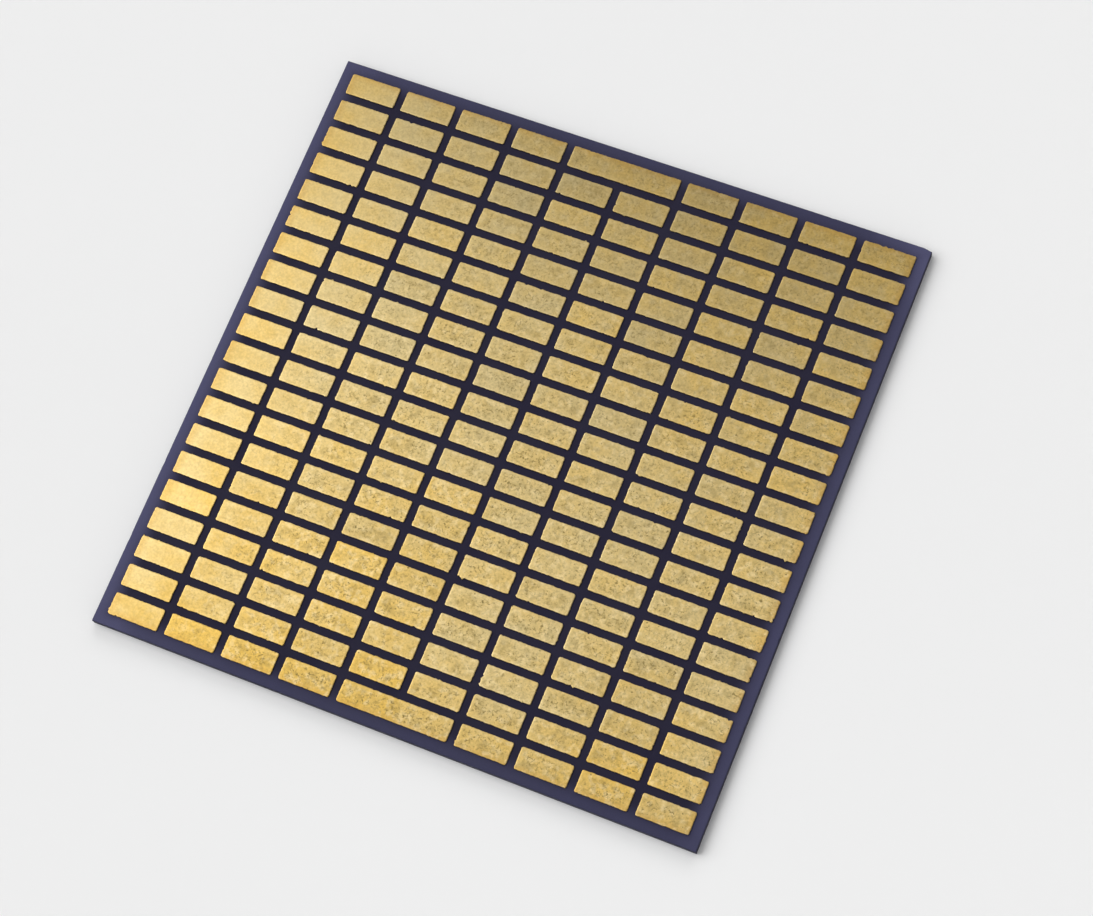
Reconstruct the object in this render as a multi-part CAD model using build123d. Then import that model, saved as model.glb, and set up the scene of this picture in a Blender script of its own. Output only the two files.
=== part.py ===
"""Metallised aluminium nitride substrate for a thermoelectric module.

A thin square ceramic plate carries rows of separate gold-finished conductor pads on its upper face.
Each pad spans two neighbouring sites of a square grid, and a semiconductor leg is soldered to each site.
In the first and last row, one wide pad across the middle takes the place of two.

X runs along the rows, Y from the front row to the back row and Z up, in millimetres.
The origin is the middle of the bare underside, which lies on the heat sink.
"""

from build123d import *
import math
import os

# Site grid
site_pitch = 1.95  # from one leg to the next, the same in X and Y
sites_per_pad = 2
pads_per_row = 10
row_count = 20

# Pads: copper plated through a mask onto the ceramic, then nickel and gold
pad_gap = 0.50  # bare ceramic between neighbouring pads, in X and in Y
pad_thickness = 0.08
pad_corner_cut = 0.08  # each corner of a pad is a small flat, cut off this far along both sides
flank_lean = 0.015  # how far a pad's side leans inwards from its foot to its top
shoulder = 0.012  # the bevel round a pad's upper edge
columns_per_wide_pad = 2

# Plate: tape cast, fired, lapped flat and diced out of a larger panel
edge_margin = 0.75  # bare ceramic from the outermost pads to the plate's edge
plate_thickness = 0.635
edge_break = 0.03  # the small bevel that is left on every edge after dicing

# Derived sizes
column_pitch = sites_per_pad * site_pitch
pad_length = column_pitch - pad_gap
pad_width = site_pitch - pad_gap
wide_pad_length = columns_per_wide_pad * column_pitch - pad_gap
pattern_length = pads_per_row * column_pitch - pad_gap
pattern_width = row_count * site_pitch - pad_gap
plate_length = pattern_length + 2 * edge_margin
plate_width = pattern_width + 2 * edge_margin
flank_angle = math.degrees(math.atan2(flank_lean, pad_thickness))

# The columns that the wide pad covers, counted from the left, in the middle of its row
first_wide_column = (pads_per_row - columns_per_wide_pad) // 2
wide_columns = range(first_wide_column, first_wide_column + columns_per_wide_pad)


def column_x(column):
    """X of a column's middle. Column 0 is the leftmost."""
    return (column - (pads_per_row - 1) / 2) * column_pitch


def row_y(row):
    """Y of a row's middle. Row 0 is at the back."""
    return ((row_count - 1) / 2 - row) * site_pitch


def ceramic_plate():
    """The bare plate, with its underside on the XY plane and all its edges broken."""
    blank = extrude(Rectangle(plate_length, plate_width), plate_thickness)
    return chamfer(blank.edges(), edge_break)


def pad(length):
    """One conductor pad on the plate's upper face: cut corners, leaning sides and a bevelled upper edge."""
    foot = chamfer(Rectangle(length, pad_width).vertices(), pad_corner_cut)
    block = extrude(foot, pad_thickness, taper=flank_angle)
    upper_edge = block.faces().sort_by(Axis.Z)[-1].edges()
    return Pos(Z=plate_thickness) * chamfer(upper_edge, shoulder)


def pad_row(row):
    """The plain pads of one row, as separate solids. The end rows leave their wide pad's columns free."""
    has_wide_pad = row in (0, row_count - 1)
    columns = [c for c in range(pads_per_row) if not (has_wide_pad and c in wide_columns)]
    return Compound([Pos(column_x(c), row_y(row)) * plain_pad for c in columns])


def wide_pad(row):
    """The wide pad of an end row, from the first to the last of the columns that it covers."""
    middle_x = (column_x(wide_columns[0]) + column_x(wide_columns[-1])) / 2
    return Pos(middle_x, row_y(row)) * pad(wide_pad_length)


plain_pad = pad(pad_length)

pieces = {"ceramic_plate": ceramic_plate()}
for row in range(row_count):
    pieces[f"pad_row_{row + 1:02d}"] = pad_row(row)
pieces["wide_pad_back"] = wide_pad(0)
pieces["wide_pad_front"] = wide_pad(row_count - 1)

os.makedirs("parts", exist_ok=True)
for name, piece in pieces.items():
    export_step(piece, f"parts/{name}.step")
print(f"plate {plate_length:.3f} x {plate_width:.3f} x {plate_thickness} mm, {len(pieces)} nodes")
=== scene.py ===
"""The looks of a metallised ceramic plate that carries rows of gold-finished pads.

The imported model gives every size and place. X runs along the rows, Y from the front row to the back
and Z up, in metres. The plate lies on its bare underside, with the pads on its upper face.
"""

import math

import bpy
import numpy as np
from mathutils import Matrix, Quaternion, Vector


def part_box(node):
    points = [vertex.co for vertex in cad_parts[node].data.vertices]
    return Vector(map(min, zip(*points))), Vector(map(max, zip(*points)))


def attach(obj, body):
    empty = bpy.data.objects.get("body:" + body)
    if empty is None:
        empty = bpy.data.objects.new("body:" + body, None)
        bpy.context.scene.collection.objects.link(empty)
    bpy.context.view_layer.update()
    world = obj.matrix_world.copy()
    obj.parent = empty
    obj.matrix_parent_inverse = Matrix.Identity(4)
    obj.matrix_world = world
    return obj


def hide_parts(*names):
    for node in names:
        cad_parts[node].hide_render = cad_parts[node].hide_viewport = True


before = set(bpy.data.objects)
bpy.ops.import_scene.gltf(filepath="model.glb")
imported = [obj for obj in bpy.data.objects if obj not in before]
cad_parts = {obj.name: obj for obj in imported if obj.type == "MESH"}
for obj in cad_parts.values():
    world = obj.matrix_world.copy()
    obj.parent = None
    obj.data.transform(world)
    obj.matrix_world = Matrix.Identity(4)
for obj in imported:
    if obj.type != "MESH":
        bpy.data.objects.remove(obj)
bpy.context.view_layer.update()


# The ceramic plate
# A thin square of grey aluminium nitride, tape cast, fired and lapped flat on both faces. A saw diced it
# out of a larger panel, which leaves tiny chips along its edges, and one corner has lost its very tip.

MM = 0.001
_, plate_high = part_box("ceramic_plate")
plate_half = plate_high.x
plate_top = plate_high.z
pattern_half_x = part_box("pad_row_02")[1].x
pattern_half_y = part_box("pad_row_01")[1].y

outline_step = 0.125 * MM
edge_break = 0.03 * MM
chip_reach = 0.05 * MM
# Fine chips follow one another along an edge. A big one breaks out only where its waves pass the rarity.
fine_chip_length = 0.4 * MM
fine_chip_depth = 0.006 * MM
big_chip_length = 0.9 * MM
big_chip_depth = 0.06 * MM
big_chip_rarity = 1.9
chip_seeds = (11, 13, 15, 17)
margin_rings = np.array([0.11, 0.25, 0.4, 0.55, 0.7, 0.85, 1.0, 1.2, 1.4, 1.6]) * MM
lost_tip_length = 0.55 * MM
lost_tip_depth = 0.11 * MM
# Painted shade among the pads: full from this far inside the pattern's border, gone this far outside it.
gap_shade_starts = -0.85 * MM
gap_shade_ends = 0.6 * MM


def waves(x, y, length, seed, count=28):
    """Sum of plane waves of about one length, each with its own heading and phase, scaled to unit spread."""
    draw = np.random.default_rng(seed)
    heading = draw.uniform(0, 2 * np.pi, count)
    rate = 2 * np.pi / (length * draw.uniform(0.7, 1.4, count))
    phase = draw.uniform(0, 2 * np.pi, count)
    total = np.zeros(np.broadcast(x, y).shape)
    for k in range(count):
        total += np.cos(rate[k] * (x * np.cos(heading[k]) + y * np.sin(heading[k])) + phase[k])
    return total * np.sqrt(2 / count)


def smooth_step(value, start, end):
    """0 before start, 1 after end, and between them 3t^2 - 2t^3 of the share t that is passed."""
    share = np.clip((value - start) / (end - start), 0, 1)
    return share * share * (3 - 2 * share)


def ringed_mesh(name, rings, smooth):
    """One mesh of closed stacks of rings. rings is indexed by stack, ring, point and axis, from each
    stack's underside upwards. A band of four-sided faces joins each ring to the next, and one face
    closes each end."""
    stacks, levels, points, _ = rings.shape
    index = np.arange(stacks * levels * points).reshape(stacks, levels, points)
    ahead = np.roll(index, -1, axis=2)
    bands = np.stack([index[:, :-1], ahead[:, :-1], ahead[:, 1:], index[:, 1:]], axis=-1).reshape(-1)
    caps = np.concatenate([index[:, 0, ::-1], index[:, -1]]).reshape(-1)
    band_count = bands.size // 4
    cap_count = 2 * stacks
    totals = np.concatenate([np.full(band_count, 4), np.full(cap_count, points)])
    mesh = bpy.data.meshes.new(name)
    mesh.vertices.add(rings.size // 3)
    mesh.vertices.foreach_set("co", rings.reshape(-1))
    mesh.loops.add(bands.size + caps.size)
    mesh.loops.foreach_set("vertex_index", np.concatenate([bands, caps]))
    mesh.polygons.add(len(totals))
    mesh.polygons.foreach_set("loop_start", np.cumsum(totals) - totals)
    mesh.polygons.foreach_set("loop_total", totals)
    mesh.polygons.foreach_set("use_smooth", np.arange(len(totals)) < (band_count if smooth else 0))
    mesh.update(calc_edges=True)
    mesh.validate()
    piece = bpy.data.objects.new(name, mesh)
    bpy.context.scene.collection.objects.link(piece)
    return piece


def give_attribute(piece, name, values):
    """Keeps one number for each vertex of the piece, for its material to read."""
    layer = piece.data.attributes.new(name, "FLOAT", "POINT")
    layer.data.foreach_set("value", values.reshape(-1))


def plate_rings():
    """The square outline carried up the wall, over both broken edges and in along the upper margin. A
    ring at an inset is the square scaled about its middle. Chips only ever take material away. The lost
    tip moves the points near the back right corner forwards, the more the nearer they lie to it."""
    count = round(2 * plate_half / outline_step)
    corners = np.array([(-1, -1), (1, -1), (1, 1), (-1, 1)], float)
    share = np.arange(count)[None, :, None] / count
    square = (corners[:, None] + share * (np.roll(corners, -1, axis=0) - corners)[:, None]).reshape(-1, 2)
    x, y = plate_half * square.T
    chips = []
    for seed in chip_seeds:
        fine = np.abs(waves(x, y, fine_chip_length, seed)) * fine_chip_depth
        big = np.maximum(waves(x, y, big_chip_length, seed + 1) - big_chip_rarity, 0) * big_chip_depth
        chips.append(np.minimum(fine + big, chip_reach))
    zero = np.zeros_like(x)
    insets = [edge_break + chips[0], zero, zero, edge_break + chips[3]]
    heights = [zero, edge_break + chips[1], plate_top - edge_break - chips[2], zero + plate_top]
    insets += [zero + inset for inset in margin_rings]
    heights += [zero + plate_top] * len(margin_rings)
    inset = np.array(insets)
    scale = 1 - inset / plate_half
    ring_x = x * scale
    ring_y = y * scale
    near_tip = np.clip((ring_x - plate_half + lost_tip_length) / lost_tip_length, 0, 1)
    near_tip *= smooth_step(ring_y, plate_half - lost_tip_length, plate_half - edge_break)
    ring_y = ring_y - lost_tip_depth * near_tip
    return np.stack([ring_x, ring_y, np.array(heights)], axis=-1)[None]


def gap_shade_round_pads(x, y):
    """Painted shade among the pads: 1 well inside the pads' pattern, falling to 0 a little way outside it.
    The distance is counted from the pattern's border, outwards, and is less than 0 inside."""
    past_x = np.abs(x) - pattern_half_x
    past_y = np.abs(y) - pattern_half_y
    outside = np.hypot(np.maximum(past_x, 0), np.maximum(past_y, 0))
    inside = np.minimum(np.maximum(past_x, past_y), 0)
    return 1 - smooth_step(outside + inside, gap_shade_starts, gap_shade_ends)


plate_points = plate_rings()
plate = ringed_mesh("diced_ceramic_plate", plate_points, smooth=False)
plate_x, plate_y, plate_z = np.moveaxis(plate_points, -1, 0)
# Painted shade on the upper face among the pads.
give_attribute(plate, "gap_shade", gap_shade_round_pads(plate_x, plate_y) * (plate_z > plate_top - edge_break))
# Painted shade on the walls.
give_attribute(plate, "wall_shade", ((plate_z > 0) & (plate_z < plate_top)).astype(float))


def add_node(tree, kind, inputs=None, **settings):
    """Adds a node with its own settings. Each input is joined to a socket, or set to a number or colour."""
    node = tree.nodes.new(kind)
    for name, value in settings.items():
        setattr(node, name, value)
    for key, value in (inputs or {}).items():
        if isinstance(value, bpy.types.NodeSocket):
            tree.links.new(value, node.inputs[key])
        else:
            node.inputs[key].default_value = value
    return node


def calculate(tree, operation, *values):
    """The result of a Math node on the given sockets and numbers."""
    return add_node(tree, "ShaderNodeMath", dict(enumerate(values)), operation=operation).outputs[0]


def between(tree, value, start, end, low=0.0, high=1.0):
    """A smooth ramp from low, where value is start, to high, where it is end."""
    inputs = {"Value": value, "From Min": start, "From Max": end, "To Min": low, "To Max": high}
    node = add_node(tree, "ShaderNodeMapRange", inputs, interpolation_type="SMOOTHSTEP")
    return node.outputs["Result"]


def mixed(tree, share, first, second):
    """The colour that a share of the second makes with the first. A Mix node for colours has its share in
    socket 0, the two colours in sockets 6 and 7, and the result in output 2."""
    return add_node(tree, "ShaderNodeMix", {0: share, 6: first, 7: second}, data_type="RGBA").outputs[2]


def noise(tree, scale, detail=2.0, roughness=0.5, vector=None):
    """Soft noise about 0.5 whose spots are about one over the scale across, in metres."""
    where = vector or add_node(tree, "ShaderNodeTexCoord").outputs["Object"]
    inputs = {"Vector": where, "Scale": scale, "Detail": detail, "Roughness": roughness}
    return add_node(tree, "ShaderNodeTexNoise", inputs).outputs["Fac"]


def new_material(name):
    """An empty material's node tree, its surface shader and the material."""
    material = bpy.data.materials.new(name)
    material.use_nodes = True
    shader = material.node_tree.nodes["Principled BSDF"]
    return material.node_tree, shader, material


def grain_group():
    """Grain and clouds, for every finish here: two noises of their own sizes, each about 0.5."""
    group = bpy.data.node_groups.new("grain and clouds", "ShaderNodeTree")
    for name in ("Grain size", "Cloud size"):
        group.interface.new_socket(name, in_out="INPUT", socket_type="NodeSocketFloat")
    for name in ("Grain", "Clouds"):
        group.interface.new_socket(name, in_out="OUTPUT", socket_type="NodeSocketFloat")
    sizes = group.nodes.new("NodeGroupInput")
    out = group.nodes.new("NodeGroupOutput")
    grain = noise(group, calculate(group, "DIVIDE", 1.0, sizes.outputs["Grain size"]), detail=1.0)
    clouds = noise(group, calculate(group, "DIVIDE", 1.0, sizes.outputs["Cloud size"]), detail=3.0)
    group.links.new(grain, out.inputs["Grain"])
    group.links.new(clouds, out.inputs["Clouds"])
    return group


grain_and_clouds = grain_group()


def add_grain(tree, grain_size, cloud_size):
    """The grain and clouds group in a material, with that material's own sizes in metres."""
    node = tree.nodes.new("ShaderNodeGroup")
    node.node_tree = grain_and_clouds
    node.inputs["Grain size"].default_value = grain_size
    node.inputs["Cloud size"].default_value = cloud_size
    return node.outputs["Grain"], node.outputs["Clouds"]


def from_grain(tree, grain, low, high):
    """Carries grain, nearly all of which lies between 0.25 and 0.75, to the range from low to high."""
    return between(tree, grain, 0.25, 0.75, low, high)


def from_clouds(tree, clouds, low, high):
    """Carries clouds, nearly all of which lie between 0.3 and 0.7, to the range from low to high."""
    return between(tree, clouds, 0.3, 0.7, low, high)


bare_ceramic = (0.0344, 0.0340, 0.0766, 1)
# The colour of the painted light on the upper face.
painted_lit_ceramic = (0.0660, 0.0655, 0.1360, 1)
# The colour of the painted shade on the walls.
wall_shade_ceramic = (0.018, 0.018, 0.040, 1)
# The colour of the painted shade among the pads.
gap_shade_ceramic = (0.0105, 0.0085, 0.0270, 1)
# Painted light: the upper face is paler along its left side, the more the nearer the front, in a thin strip
# along its right side and at its back right corner. Each entry is where it starts, where it is full, and how
# pale it gets, along X, or for the corner along the sum of X and Y.
left_painted_light = (-5 * MM, -plate_half, 0.35)
left_strip = (-16.5 * MM, -19.8 * MM, 0.65)
right_strip = (18.2 * MM, 19.8 * MM, 0.33)
pale_corner = (1.7 * plate_half, 2 * plate_half, 0.8)
left_at_back = 0.75
left_at_front = 1.28
faint_clouds = (-0.1, 0.1)
crystal_contrast = (0.86, 1.14)
ceramic_roughness = (0.62, 0.74)
ceramic_gloss = 0.2
crystal_size = 0.03 * MM
ceramic_cloud_size = 2.5 * MM
# Saw marks are a fine noise drawn out along the cut, so that it changes only with the height.
saw_marks_scale = 40 / MM
saw_marks_squeeze = (0.04, 0.04, 1.0)
ceramic_relief = 0.0012 * MM


def painted_light_and_clouds(tree, x, y, clouds):
    """How pale the bare face is: the painted light of the areas above added up, with faint clouds."""
    left_light = between(tree, x, left_painted_light[0], left_painted_light[1], 0.0, left_painted_light[2])
    strip = between(tree, x, left_strip[0], left_strip[1], 0.0, left_strip[2])
    along = between(tree, y, plate_half, -plate_half, left_at_back, left_at_front)
    paleness = calculate(tree, "MULTIPLY", calculate(tree, "ADD", left_light, strip), along)
    diagonal = calculate(tree, "ADD", x, y)
    corner = between(tree, diagonal, pale_corner[0], pale_corner[1], 0.0, pale_corner[2])
    right = between(tree, x, right_strip[0], right_strip[1], 0.0, right_strip[2])
    for area in (corner, right, from_clouds(tree, clouds, *faint_clouds)):
        paleness = calculate(tree, "ADD", paleness, area)
    return paleness


def ceramic_material():
    """Matte slate violet with a fine crystal grain. Painted light makes the upper face paler at its left
    side, along its right side and at its back right corner, and painted shade makes it darker on the walls
    and among the pads."""
    tree, shader, material = new_material("fired aluminium nitride")
    grain, clouds = add_grain(tree, crystal_size, ceramic_cloud_size)
    where = add_node(tree, "ShaderNodeTexCoord").outputs["Object"]
    place = add_node(tree, "ShaderNodeSeparateXYZ", {"Vector": where}).outputs
    # Painted light on the upper face, with faint clouds.
    paleness = painted_light_and_clouds(tree, place["X"], place["Y"], clouds)
    face = mixed(tree, paleness, bare_ceramic, painted_lit_ceramic)
    gap_shade = add_node(tree, "ShaderNodeAttribute", attribute_name="gap_shade").outputs["Fac"]
    wall_shade = add_node(tree, "ShaderNodeAttribute", attribute_name="wall_shade").outputs["Fac"]
    # Painted shade on the walls.
    body = mixed(tree, wall_shade, face, wall_shade_ceramic)
    # Painted shade among the pads.
    colour = mixed(tree, gap_shade, body, gap_shade_ceramic)
    speckle = from_grain(tree, grain, *crystal_contrast)
    tint = add_node(tree, "ShaderNodeVectorMath", {0: colour, "Scale": speckle}, operation="SCALE")
    tree.links.new(tint.outputs["Vector"], shader.inputs["Base Color"])
    drawn_out = add_node(tree, "ShaderNodeMapping", {"Vector": where, "Scale": saw_marks_squeeze})
    saw_marks = noise(tree, saw_marks_scale, vector=drawn_out.outputs["Vector"])
    relief = calculate(tree, "ADD", grain, saw_marks)
    bump = add_node(tree, "ShaderNodeBump", {"Strength": 1.0, "Distance": ceramic_relief, "Height": relief})
    tree.links.new(bump.outputs["Normal"], shader.inputs["Normal"])
    tree.links.new(from_clouds(tree, clouds, *ceramic_roughness), shader.inputs["Roughness"])
    shader.inputs["Specular IOR Level"].default_value = ceramic_gloss
    return material


plate.data.materials.append(ceramic_material())
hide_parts("ceramic_plate")
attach(plate, "root")


# The plain pads
# 196 islands of copper, plated through a mask onto the ceramic and finished in nickel and gold. Each has
# round corners, a ragged outline where the mask ended, leaning sides and a rolled upper edge.

row_count = 20
columns = 10
row_boxes = [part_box(f"pad_row_{row + 1:02d}") for row in range(row_count)]
row_y = np.array([(low.y + high.y) / 2 for low, high in row_boxes])
row_pitch = (row_y[0] - row_y[-1]) / (row_count - 1)
pad_width = row_boxes[0][1].y - row_boxes[0][0].y
pad_gap = row_pitch - pad_width
column_pitch = (2 * pattern_half_x + pad_gap) / columns
column_x = (np.arange(columns) - (columns - 1) / 2) * column_pitch
pad_length = column_pitch - pad_gap
pad_top = row_boxes[0][1].z
wide_columns = (4, 5)

corner_radius = 0.12 * MM
corner_steps = 4
side_step = 0.09 * MM
# How far in from the foot, and how high up the pad, each ring of its profile lies.
profile = np.array([(0, 0), (0.010, 0.90), (0.014, 0.97), (0.022, 1.0), (0.09, 0.985)])
profile_inset = profile[:, 0] * MM
profile_height = plate_top + profile[:, 1] * (pad_top - plate_top)
# The mask's ragged edge shows fully at the foot and has faded by the last ring.
ragged_share = np.array([1.0, 1.0, 1.0, 0.9, 0.3])
tooth_length = 0.22 * MM
tooth_depth = 0.008 * MM
waver_length = 0.7 * MM
waver_depth = 0.005 * MM
# A nib or a notch stands only where the flaw waves pass its rarity.
flaw_length = 0.26 * MM
flaw_depth = 0.06 * MM
nib_rarity = 2.1
notch_rarity = 2.0
tooth_seed, waver_seed, flaw_seed = 21, 22, 23


def pad_outline(length, width):
    """A rounded rectangle, counter-clockwise, as the middle of its rounding and its outward direction at
    each point. A point of the outline is the middle plus the direction times the corner radius."""
    half = np.array([length, width]) / 2 - corner_radius
    signs = np.array([(1, -1), (1, 1), (-1, 1), (-1, -1)])
    middles, turns = [], []
    for quarter in range(4):
        start = signs[quarter] * half
        end = signs[(quarter + 1) % 4] * half
        steps = max(round(np.abs(end - start).max() / side_step), 2)
        share = np.arange(1, steps)[:, None] / steps
        arc = (quarter - 1 + np.linspace(0, 1, corner_steps + 1)) * np.pi / 2
        middles += [np.tile(start, (corner_steps + 1, 1)), start + share * (end - start)]
        turns += [arc, np.full(steps - 1, quarter * np.pi / 2)]
    turn = np.concatenate(turns)
    return np.concatenate(middles), np.stack([np.cos(turn), np.sin(turn)], axis=-1)


def ragged_edge(x, y):
    """How far the mask's edge strayed outwards: fine tooth, slow waver, and now and then a nib or notch."""
    tooth = tooth_depth * waves(x, y, tooth_length, tooth_seed)
    waver = waver_depth * waves(x, y, waver_length, waver_seed)
    flaw = waves(x, y, flaw_length, flaw_seed)
    nib = np.maximum(flaw - nib_rarity, 0)
    notch = np.maximum(-notch_rarity - flaw, 0)
    return tooth + waver + flaw_depth * (nib - notch)


def pad_rings(centres, length):
    """The pads' profile carried round each outline. centres is a list of the pads' middles."""
    middle, outward = pad_outline(length, pad_width)
    middle = np.array(centres)[:, None, None] + middle
    foot = middle + corner_radius * outward
    stray = ragged_edge(foot[..., 0], foot[..., 1])
    reach = corner_radius - profile_inset[:, None] + ragged_share[:, None] * stray
    plan = middle + reach[..., None] * outward
    height = np.broadcast_to(profile_height[:, None], plan.shape[:-1])
    return np.concatenate([plan, height[..., None]], axis=-1)


def tint_pads(piece, rings, seed):
    """Gives each pad its own shade, because no two plate quite alike."""
    draw = np.random.default_rng(seed)
    shade = draw.normal(0, 1, len(rings))
    give_attribute(piece, "pad_shade", np.repeat(shade, rings.shape[1] * rings.shape[2]))


def inset_group():
    """The distance in from the nearest pad edge. A ping-pong of each coordinate rises from the middle of
    one gap to the middle of a pad and falls to the next gap."""
    group = bpy.data.node_groups.new("distance in from a pad's edge", "ShaderNodeTree")
    for name in ("Half pitch", "Offset"):
        group.interface.new_socket(name, in_out="INPUT", socket_type="NodeSocketFloat")
    group.interface.new_socket("Inset", in_out="OUTPUT", socket_type="NodeSocketFloat")
    given = group.nodes.new("NodeGroupInput")
    out = group.nodes.new("NodeGroupOutput")
    where = add_node(group, "ShaderNodeTexCoord").outputs["Object"]
    place = add_node(group, "ShaderNodeSeparateXYZ", {"Vector": where})
    along = calculate(group, "ADD", place.outputs["X"], given.outputs["Offset"])
    from_end = calculate(group, "PINGPONG", along, given.outputs["Half pitch"])
    from_side = calculate(group, "PINGPONG", place.outputs["Y"], row_pitch / 2)
    nearest = calculate(group, "MINIMUM", from_end, from_side)
    group.links.new(calculate(group, "SUBTRACT", nearest, pad_gap / 2), out.inputs["Inset"])
    return group


inset_from_edge = inset_group()
pale_gold = (0.690, 0.545, 0.265, 1)
warm_gold = (0.720, 0.472, 0.112, 1)
border_gold = (0.560, 0.330, 0.070, 1)
olive_mark = (0.230, 0.175, 0.060, 1)
light_mark = (0.860, 0.690, 0.370, 1)

# How far the finish goes from pale to warm gold: clouds all over, more in some areas and in some pads.
cloud_warmth = (0.10, 0.42)
front_left_warmth = 0.36
front_row_warmth = 0.33
front_right_warmth = 0.30
back_right_warmth = 0.25
shade_warmth = 0.07
left_column_warmth = 0.22
left_column_front_warmth = -0.27
# Where each area starts and where it is full: along X or Y, for the back right along their sum, and for
# the front right by the distance from its middle.
front_half_reach = (0.0, -8 * MM)
front_left_reach = (0.8 * MM, -0.8 * MM)
front_row_reach = (4.4 * MM - pattern_half_y, 0.6 * MM - pattern_half_y)
front_right_middle = (13.6 * MM, -14.0 * MM, 0.0)
front_right_reach = (6 * MM, 2 * MM)
back_right_reach = (2 * MM, 30 * MM)
left_column_reach = (column_pitch - pattern_half_x, 1 * MM - pattern_half_x)
border_width_x = 0.7 * MM
border_width_y = 0.5 * MM
border_share = 0.5


def gold_tint(tree, where, x, y, clouds, shade):
    """Pale gold that warms in the areas above, and deepens along the pattern's outer border."""
    front_half = between(tree, y, *front_half_reach)
    front_left = calculate(tree, "MULTIPLY", front_half, between(tree, x, *front_left_reach))
    front_row = between(tree, y, *front_row_reach)
    off = add_node(tree, "ShaderNodeVectorMath", {0: where, 1: front_right_middle}, operation="DISTANCE")
    front_right = between(tree, off.outputs["Value"], *front_right_reach)
    back_right = between(tree, calculate(tree, "ADD", x, y), *back_right_reach)
    left_column = between(tree, x, *left_column_reach)
    fall = left_column_front_warmth - left_column_warmth
    left_warmth = calculate(tree, "MULTIPLY_ADD", front_half, fall, left_column_warmth)
    areas = (
        (front_left, front_left_warmth), (front_row, front_row_warmth), (front_right, front_right_warmth),
        (back_right, back_right_warmth), (shade, shade_warmth), (left_column, left_warmth),
    )
    warmth = from_clouds(tree, clouds, *cloud_warmth)
    for area, share in areas:
        warmth = calculate(tree, "MULTIPLY_ADD", area, share, warmth)
    gold = mixed(tree, warmth, pale_gold, warm_gold)
    from_middle_x = calculate(tree, "ABSOLUTE", x)
    from_middle_y = calculate(tree, "ABSOLUTE", y)
    border = calculate(
        tree, "MAXIMUM",
        between(tree, from_middle_x, pattern_half_x - border_width_x, pattern_half_x),
        between(tree, from_middle_y, pattern_half_y - border_width_y, pattern_half_y),
    )
    return mixed(tree, calculate(tree, "MULTIPLY", border, border_share), gold, border_gold)


# Painted light and shade: the gold gets brighter and darker over the plate as a quadratic of u and v, the
# shares of the way from the middle to the pattern's right and back borders. Each pad has a painted
# highlight, a halo, inside a rim of painted shade.
painted_light_terms = {"middle": 0.843, "u": 0.016, "v": -0.092, "uu": 0.109, "vv": -0.146, "uv": -0.026}
shade_brightness = 0.02
# A painted highlight just inside each pad's edge, and painted shade along the edge itself.
halo_brightness = 0.035
halo_starts = 0.4 * MM
halo_full = 0.1 * MM
rim_width = 0.045 * MM
rim_brightness = 0.78


def gold_painted_light_and_tone(tree, x, y, shade, inset):
    """Painted light and shade on the gold: the quadratic above, plus the pad's own random shade and the
    painted highlight of its halo, all times the painted shade of the rim. The quadratic is the middle
    plus u times (uu times u plus u's own number) plus v times (vv times v plus uv times u plus v's own)."""
    u = calculate(tree, "DIVIDE", x, pattern_half_x)
    v = calculate(tree, "DIVIDE", y, pattern_half_y)
    by_u = calculate(tree, "MULTIPLY_ADD", u, painted_light_terms["uu"], painted_light_terms["u"])
    by_v = calculate(tree, "MULTIPLY_ADD", v, painted_light_terms["vv"], painted_light_terms["v"])
    by_v = calculate(tree, "MULTIPLY_ADD", u, painted_light_terms["uv"], by_v)
    bright = calculate(tree, "MULTIPLY_ADD", u, by_u, painted_light_terms["middle"])
    bright = calculate(tree, "MULTIPLY_ADD", v, by_v, bright)
    bright = calculate(tree, "MULTIPLY_ADD", shade, shade_brightness, bright)
    # The halo is a painted highlight and the rim is painted shade.
    halo = between(tree, inset, halo_starts, halo_full, 0.0, halo_brightness)
    rim = between(tree, inset, 0.0, rim_width, rim_brightness, 1.0)
    return calculate(tree, "MULTIPLY", calculate(tree, "ADD", bright, halo), rim)


# The noise behind each kind of mark: its scale, detail and roughness, and the values at which the mark
# starts and is full.
mark_noises = {
    "busy area": (0.8 / MM, 2.0, 0.5, 0.34, 0.62),
    "speck": (5.6 / MM, 2.5, 0.6, 0.47, 0.34),
    "break in a squiggle": (3.0 / MM, 1.0, 0.5, 0.45, 0.57),
    "pit": (4.2 / MM, 1.0, 0.5, 0.28, 0.23),
    "smudge": (2.0 / MM, 2.5, 0.5, 0.53, 0.33),
    "light spot": (2.4 / MM, 2.5, 0.5, 0.48, 0.68),
}
# How strong the marks still are at a pad's edge, between busy areas, at the left side and at the back, and
# over what reach they come to full strength.
calm_least = 0.2
calm_reach = (0.02 * MM, 0.4 * MM)
busy_least = 0.4
worn_at_left = 0.15
worn_left_reach = (-pattern_half_x, 3 * column_pitch - pattern_half_x)
worn_at_back = 0.6
worn_back_reach = (pattern_half_y, -4 * MM)
squiggle_scale = 3.8 / MM
squiggle_detail = 2.5
squiggle_level = 0.45
squiggle_width = 0.055
squiggle_strength = 0.75


def marked(tree, kind, least=0.0):
    """Where one kind of mark lies: 1 where it is full, and least where there is none."""
    scale, detail, roughness, starts, full = mark_noises[kind]
    return between(tree, noise(tree, scale, detail, roughness), starts, full, least)


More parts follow.
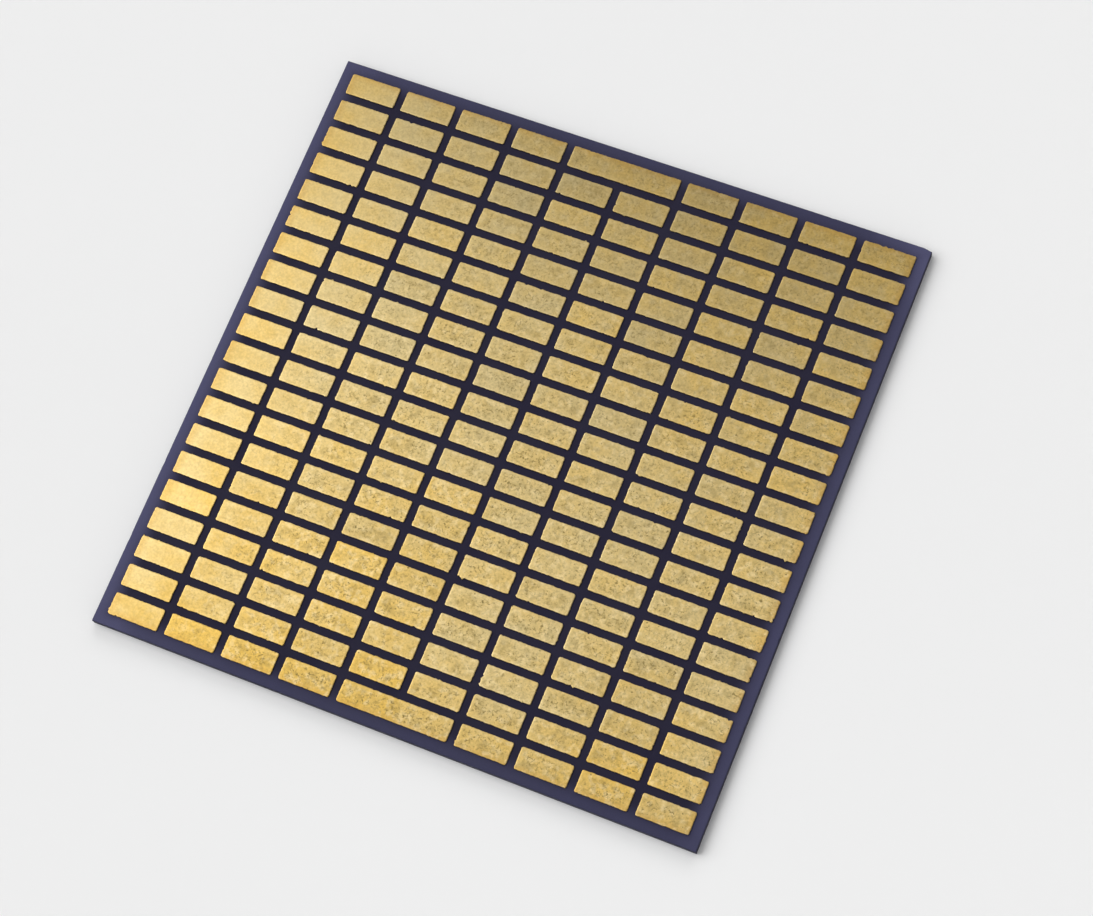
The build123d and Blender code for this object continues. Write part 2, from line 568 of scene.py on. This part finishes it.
def tarnish(tree, x, y, inset):
    """Three masks: dark marks, soft smudges and light spots. A squiggle is a thin band along one contour
    of a noise, with breaks in it. Squiggles, specks and smudges fade towards a pad's edges, and all kinds
    fade towards the plate's left side and its back."""
    calm = between(tree, inset, *calm_reach, calm_least, 1.0)
    from_left = between(tree, x, *worn_left_reach, worn_at_left, 1.0)
    from_back = between(tree, y, *worn_back_reach, worn_at_back, 1.0)
    worn = calculate(tree, "MULTIPLY", from_left, from_back)
    busy = calculate(tree, "MULTIPLY", calm, marked(tree, "busy area", busy_least))
    strength = calculate(tree, "MULTIPLY", busy, worn)
    contour = noise(tree, squiggle_scale, squiggle_detail)
    off_level = calculate(tree, "ABSOLUTE", calculate(tree, "SUBTRACT", contour, squiggle_level))
    squiggle = between(tree, off_level, squiggle_width, 0.0, 0.0, squiggle_strength)
    squiggle = calculate(tree, "MULTIPLY", squiggle, marked(tree, "break in a squiggle"))
    marks = calculate(tree, "MAXIMUM", squiggle, marked(tree, "speck"))
    marks = calculate(tree, "MULTIPLY", marks, strength)
    marks = calculate(tree, "MAXIMUM", marks, calculate(tree, "MULTIPLY", marked(tree, "pit"), worn))
    smudges = calculate(tree, "MULTIPLY", calculate(tree, "MULTIPLY", marked(tree, "smudge"), calm), worn)
    light_spots = calculate(tree, "MULTIPLY", marked(tree, "light spot"), worn)
    return marks, smudges, light_spots


gold_grain_size = 0.13 * MM
gold_cloud_size = 1.6 * MM
light_spot_share = 0.5
smudge_share = 0.30
mark_share = 0.85
mark_sink = -0.5
mark_roughness = 0.12
gold_relief = 0.0016 * MM
tooth_contrast = (0.91, 1.09)
gold_roughness = (0.38, 0.44)


def gold_material(name, half_pitch, offset):
    """Matte plated gold: paler in the middle of the plate and warmer towards its rim and in its front left
    quarter, with a fine tooth. Painted light and shade make it brighter in some places and darker in others
    over the plate, with a painted highlight just inside each pad's edge and painted shade on the edge
    itself.
    Squiggles and specks of olive tarnish keep clear of each pad's edges, and the leftmost columns have next
    to none."""
    tree, shader, material = new_material(name)
    edge_distance = tree.nodes.new("ShaderNodeGroup")
    edge_distance.node_tree = inset_from_edge
    edge_distance.inputs["Half pitch"].default_value = half_pitch
    edge_distance.inputs["Offset"].default_value = offset
    inset = edge_distance.outputs["Inset"]
    where = add_node(tree, "ShaderNodeTexCoord").outputs["Object"]
    place = add_node(tree, "ShaderNodeSeparateXYZ", {"Vector": where}).outputs
    x, y = place["X"], place["Y"]
    grain, clouds = add_grain(tree, gold_grain_size, gold_cloud_size)
    shade = add_node(tree, "ShaderNodeAttribute", attribute_name="pad_shade").outputs["Fac"]

    gold = gold_tint(tree, where, x, y, clouds, shade)
    # Painted light and shade on the gold, with each pad's own tone.
    bright = gold_painted_light_and_tone(tree, x, y, shade, inset)
    marks, smudges, light_spots = tarnish(tree, x, y, inset)
    gold = mixed(tree, calculate(tree, "MULTIPLY", light_spots, light_spot_share), gold, light_mark)
    gold = mixed(tree, calculate(tree, "MULTIPLY", smudges, smudge_share), gold, olive_mark)
    gold = mixed(tree, calculate(tree, "MULTIPLY", marks, mark_share), gold, olive_mark)
    tooth = calculate(tree, "MULTIPLY", from_grain(tree, grain, *tooth_contrast), bright)
    colour = add_node(tree, "ShaderNodeVectorMath", {0: gold, "Scale": tooth}, operation="SCALE")
    tree.links.new(colour.outputs["Vector"], shader.inputs["Base Color"])

    relief = calculate(tree, "MULTIPLY_ADD", marks, mark_sink, grain)
    bump = add_node(tree, "ShaderNodeBump", {"Strength": 1.0, "Distance": gold_relief, "Height": relief})
    tree.links.new(bump.outputs["Normal"], shader.inputs["Normal"])
    plain_roughness = from_clouds(tree, clouds, *gold_roughness)
    dull = calculate(tree, "MULTIPLY_ADD", marks, mark_roughness, plain_roughness)
    tree.links.new(dull, shader.inputs["Roughness"])
    shader.inputs["Metallic"].default_value = 1.0
    return material


plain_gold = gold_material("gold on plain pads", column_pitch / 2, 0.0)
for first_row in range(0, row_count, 2):
    rows = (first_row, first_row + 1)
    centres = [
        (column_x[column], row_y[row]) for row in rows for column in range(columns)
        if not (row in (0, row_count - 1) and column in wide_columns)
    ]
    names = [f"pad_row_{row + 1:02d}" for row in rows]
    rings = pad_rings(centres, pad_length)
    pads = ringed_mesh(f"gold_pads_rows_{rows[0] + 1:02d}_{rows[1] + 1:02d}", rings, smooth=True)
    tint_pads(pads, rings, seed=first_row)
    pads.data.materials.append(plain_gold)
    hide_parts(*names)
    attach(pads, "root")


# The wide pads
# In the first and the last row, one pad across the middle takes the place of two. It is plated with the
# others, so it has the same edges and finish.

wide_gold = gold_material("gold on wide pads", column_pitch, column_pitch)
for side in ("back", "front"):
    low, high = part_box(f"wide_pad_{side}")
    rings = pad_rings([((low.x + high.x) / 2, (low.y + high.y) / 2)], high.x - low.x)
    wide_pad = ringed_mesh(f"wide_gold_pad_{side}", rings, smooth=True)
    tint_pads(wide_pad, rings, seed=50)
    wide_pad.data.materials.append(wide_gold)
    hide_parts(f"wide_pad_{side}")
    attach(wide_pad, "root")


# The floor
# A plain pale sweep, flat under the plate and rising all round it far away, like a shallow bowl.

floor_flat = 1.3
floor_reach = 1.7
floor_rise = 0.55
floor_white = (0.86, 0.86, 0.86, 1)
floor_shade = (0.83, 0.83, 0.83, 1)
floor_grain_size = 0.2 * MM
floor_cloud_size = 60 * MM


def sweep_points(spokes=96):
    """A quarter ellipse turned about Z: flat out to one radius, then rising to the rim."""
    turn = np.arange(spokes) * 2 * np.pi / spokes
    climb = np.linspace(0, np.pi / 2, 17)
    radius = floor_flat + (floor_reach - floor_flat) * np.sin(climb)
    height = floor_rise * (1 - np.cos(climb))
    x = radius[:, None] * np.cos(turn)
    y = radius[:, None] * np.sin(turn)
    return np.stack([x, y, np.broadcast_to(height[:, None], x.shape)], axis=-1)


sweep = sweep_points()
rings_up, spokes = sweep.shape[:2]
index = np.arange(rings_up * spokes).reshape(rings_up, spokes)
ahead = np.roll(index, -1, axis=1)
faces = np.stack([index[:-1], index[1:], ahead[1:], ahead[:-1]], axis=-1).reshape(-1, 4).tolist()
floor_mesh = bpy.data.meshes.new("floor")
floor_mesh.from_pydata(sweep.reshape(-1, 3).tolist(), [], faces + [index[0].tolist()])
floor_mesh.polygons.foreach_set("use_smooth", [True] * len(faces) + [False])
floor = bpy.data.objects.new("floor", floor_mesh)
bpy.context.scene.collection.objects.link(floor)
tree, shader, floor_material = new_material("pale sweep")
_, clouds = add_grain(tree, floor_grain_size, floor_cloud_size)
tree.links.new(mixed(tree, clouds, floor_shade, floor_white), shader.inputs["Base Color"])
shader.inputs["Roughness"].default_value = 0.9
shader.inputs["Specular IOR Level"].default_value = 0.0
floor_mesh.materials.append(floor_material)


# The light
# An even sky and two broad soft lamps: the key from the left, which makes the left of the plate bright, and
# a low fill from behind, which puts a soft shadow along the plate's front wall.

sky_level = 0.37
world = bpy.data.worlds.new("even sky")
world.use_nodes = True
world.node_tree.nodes["Background"].inputs["Color"].default_value = (1, 1, 1, 1)
world.node_tree.nodes["Background"].inputs["Strength"].default_value = sky_level
bpy.context.scene.world = world

lamps = {
    "broad key": {"towards": (-0.99, -0.12, 1.0), "strength": 2.2, "spread": 60},
    "low back fill": {"towards": (-0.2, 1.0, 0.4), "strength": 1.2, "spread": 50},
}
for name, lamp in lamps.items():
    light = bpy.data.lights.new(name, "SUN")
    light.energy = lamp["strength"]
    light.angle = math.radians(lamp["spread"])
    holder = bpy.data.objects.new(name, light)
    holder.rotation_mode = "QUATERNION"
    holder.rotation_quaternion = Vector(lamp["towards"]).to_track_quat("Z", "Y")
    bpy.context.scene.collection.objects.link(holder)


# The camera
# It looks down at the plate from its front right, turned so that the rows run down to the right.

camera_place = Vector((42.686, -42.359, 163.535)) * MM
camera_aim = Vector((2.564, -0.671, 0.0)) * MM
camera_roll = math.radians(-22.696)
lens = 93.214
camera_data = bpy.data.cameras.new("camera")
camera_data.lens = lens
camera_data.sensor_width = 36.0
camera_data.clip_start = 0.01
camera_data.clip_end = 10.0
camera = bpy.data.objects.new("camera", camera_data)
camera.location = camera_place + Vector((0, 0, pad_top))
camera.rotation_mode = "QUATERNION"
facing = (camera_aim - camera_place).to_track_quat("-Z", "Y")
camera.rotation_quaternion = facing @ Quaternion((0, 0, 1), camera_roll)
bpy.context.scene.collection.objects.link(camera)
bpy.context.scene.camera = camera

bpy.context.scene.view_settings.view_transform = "Standard"
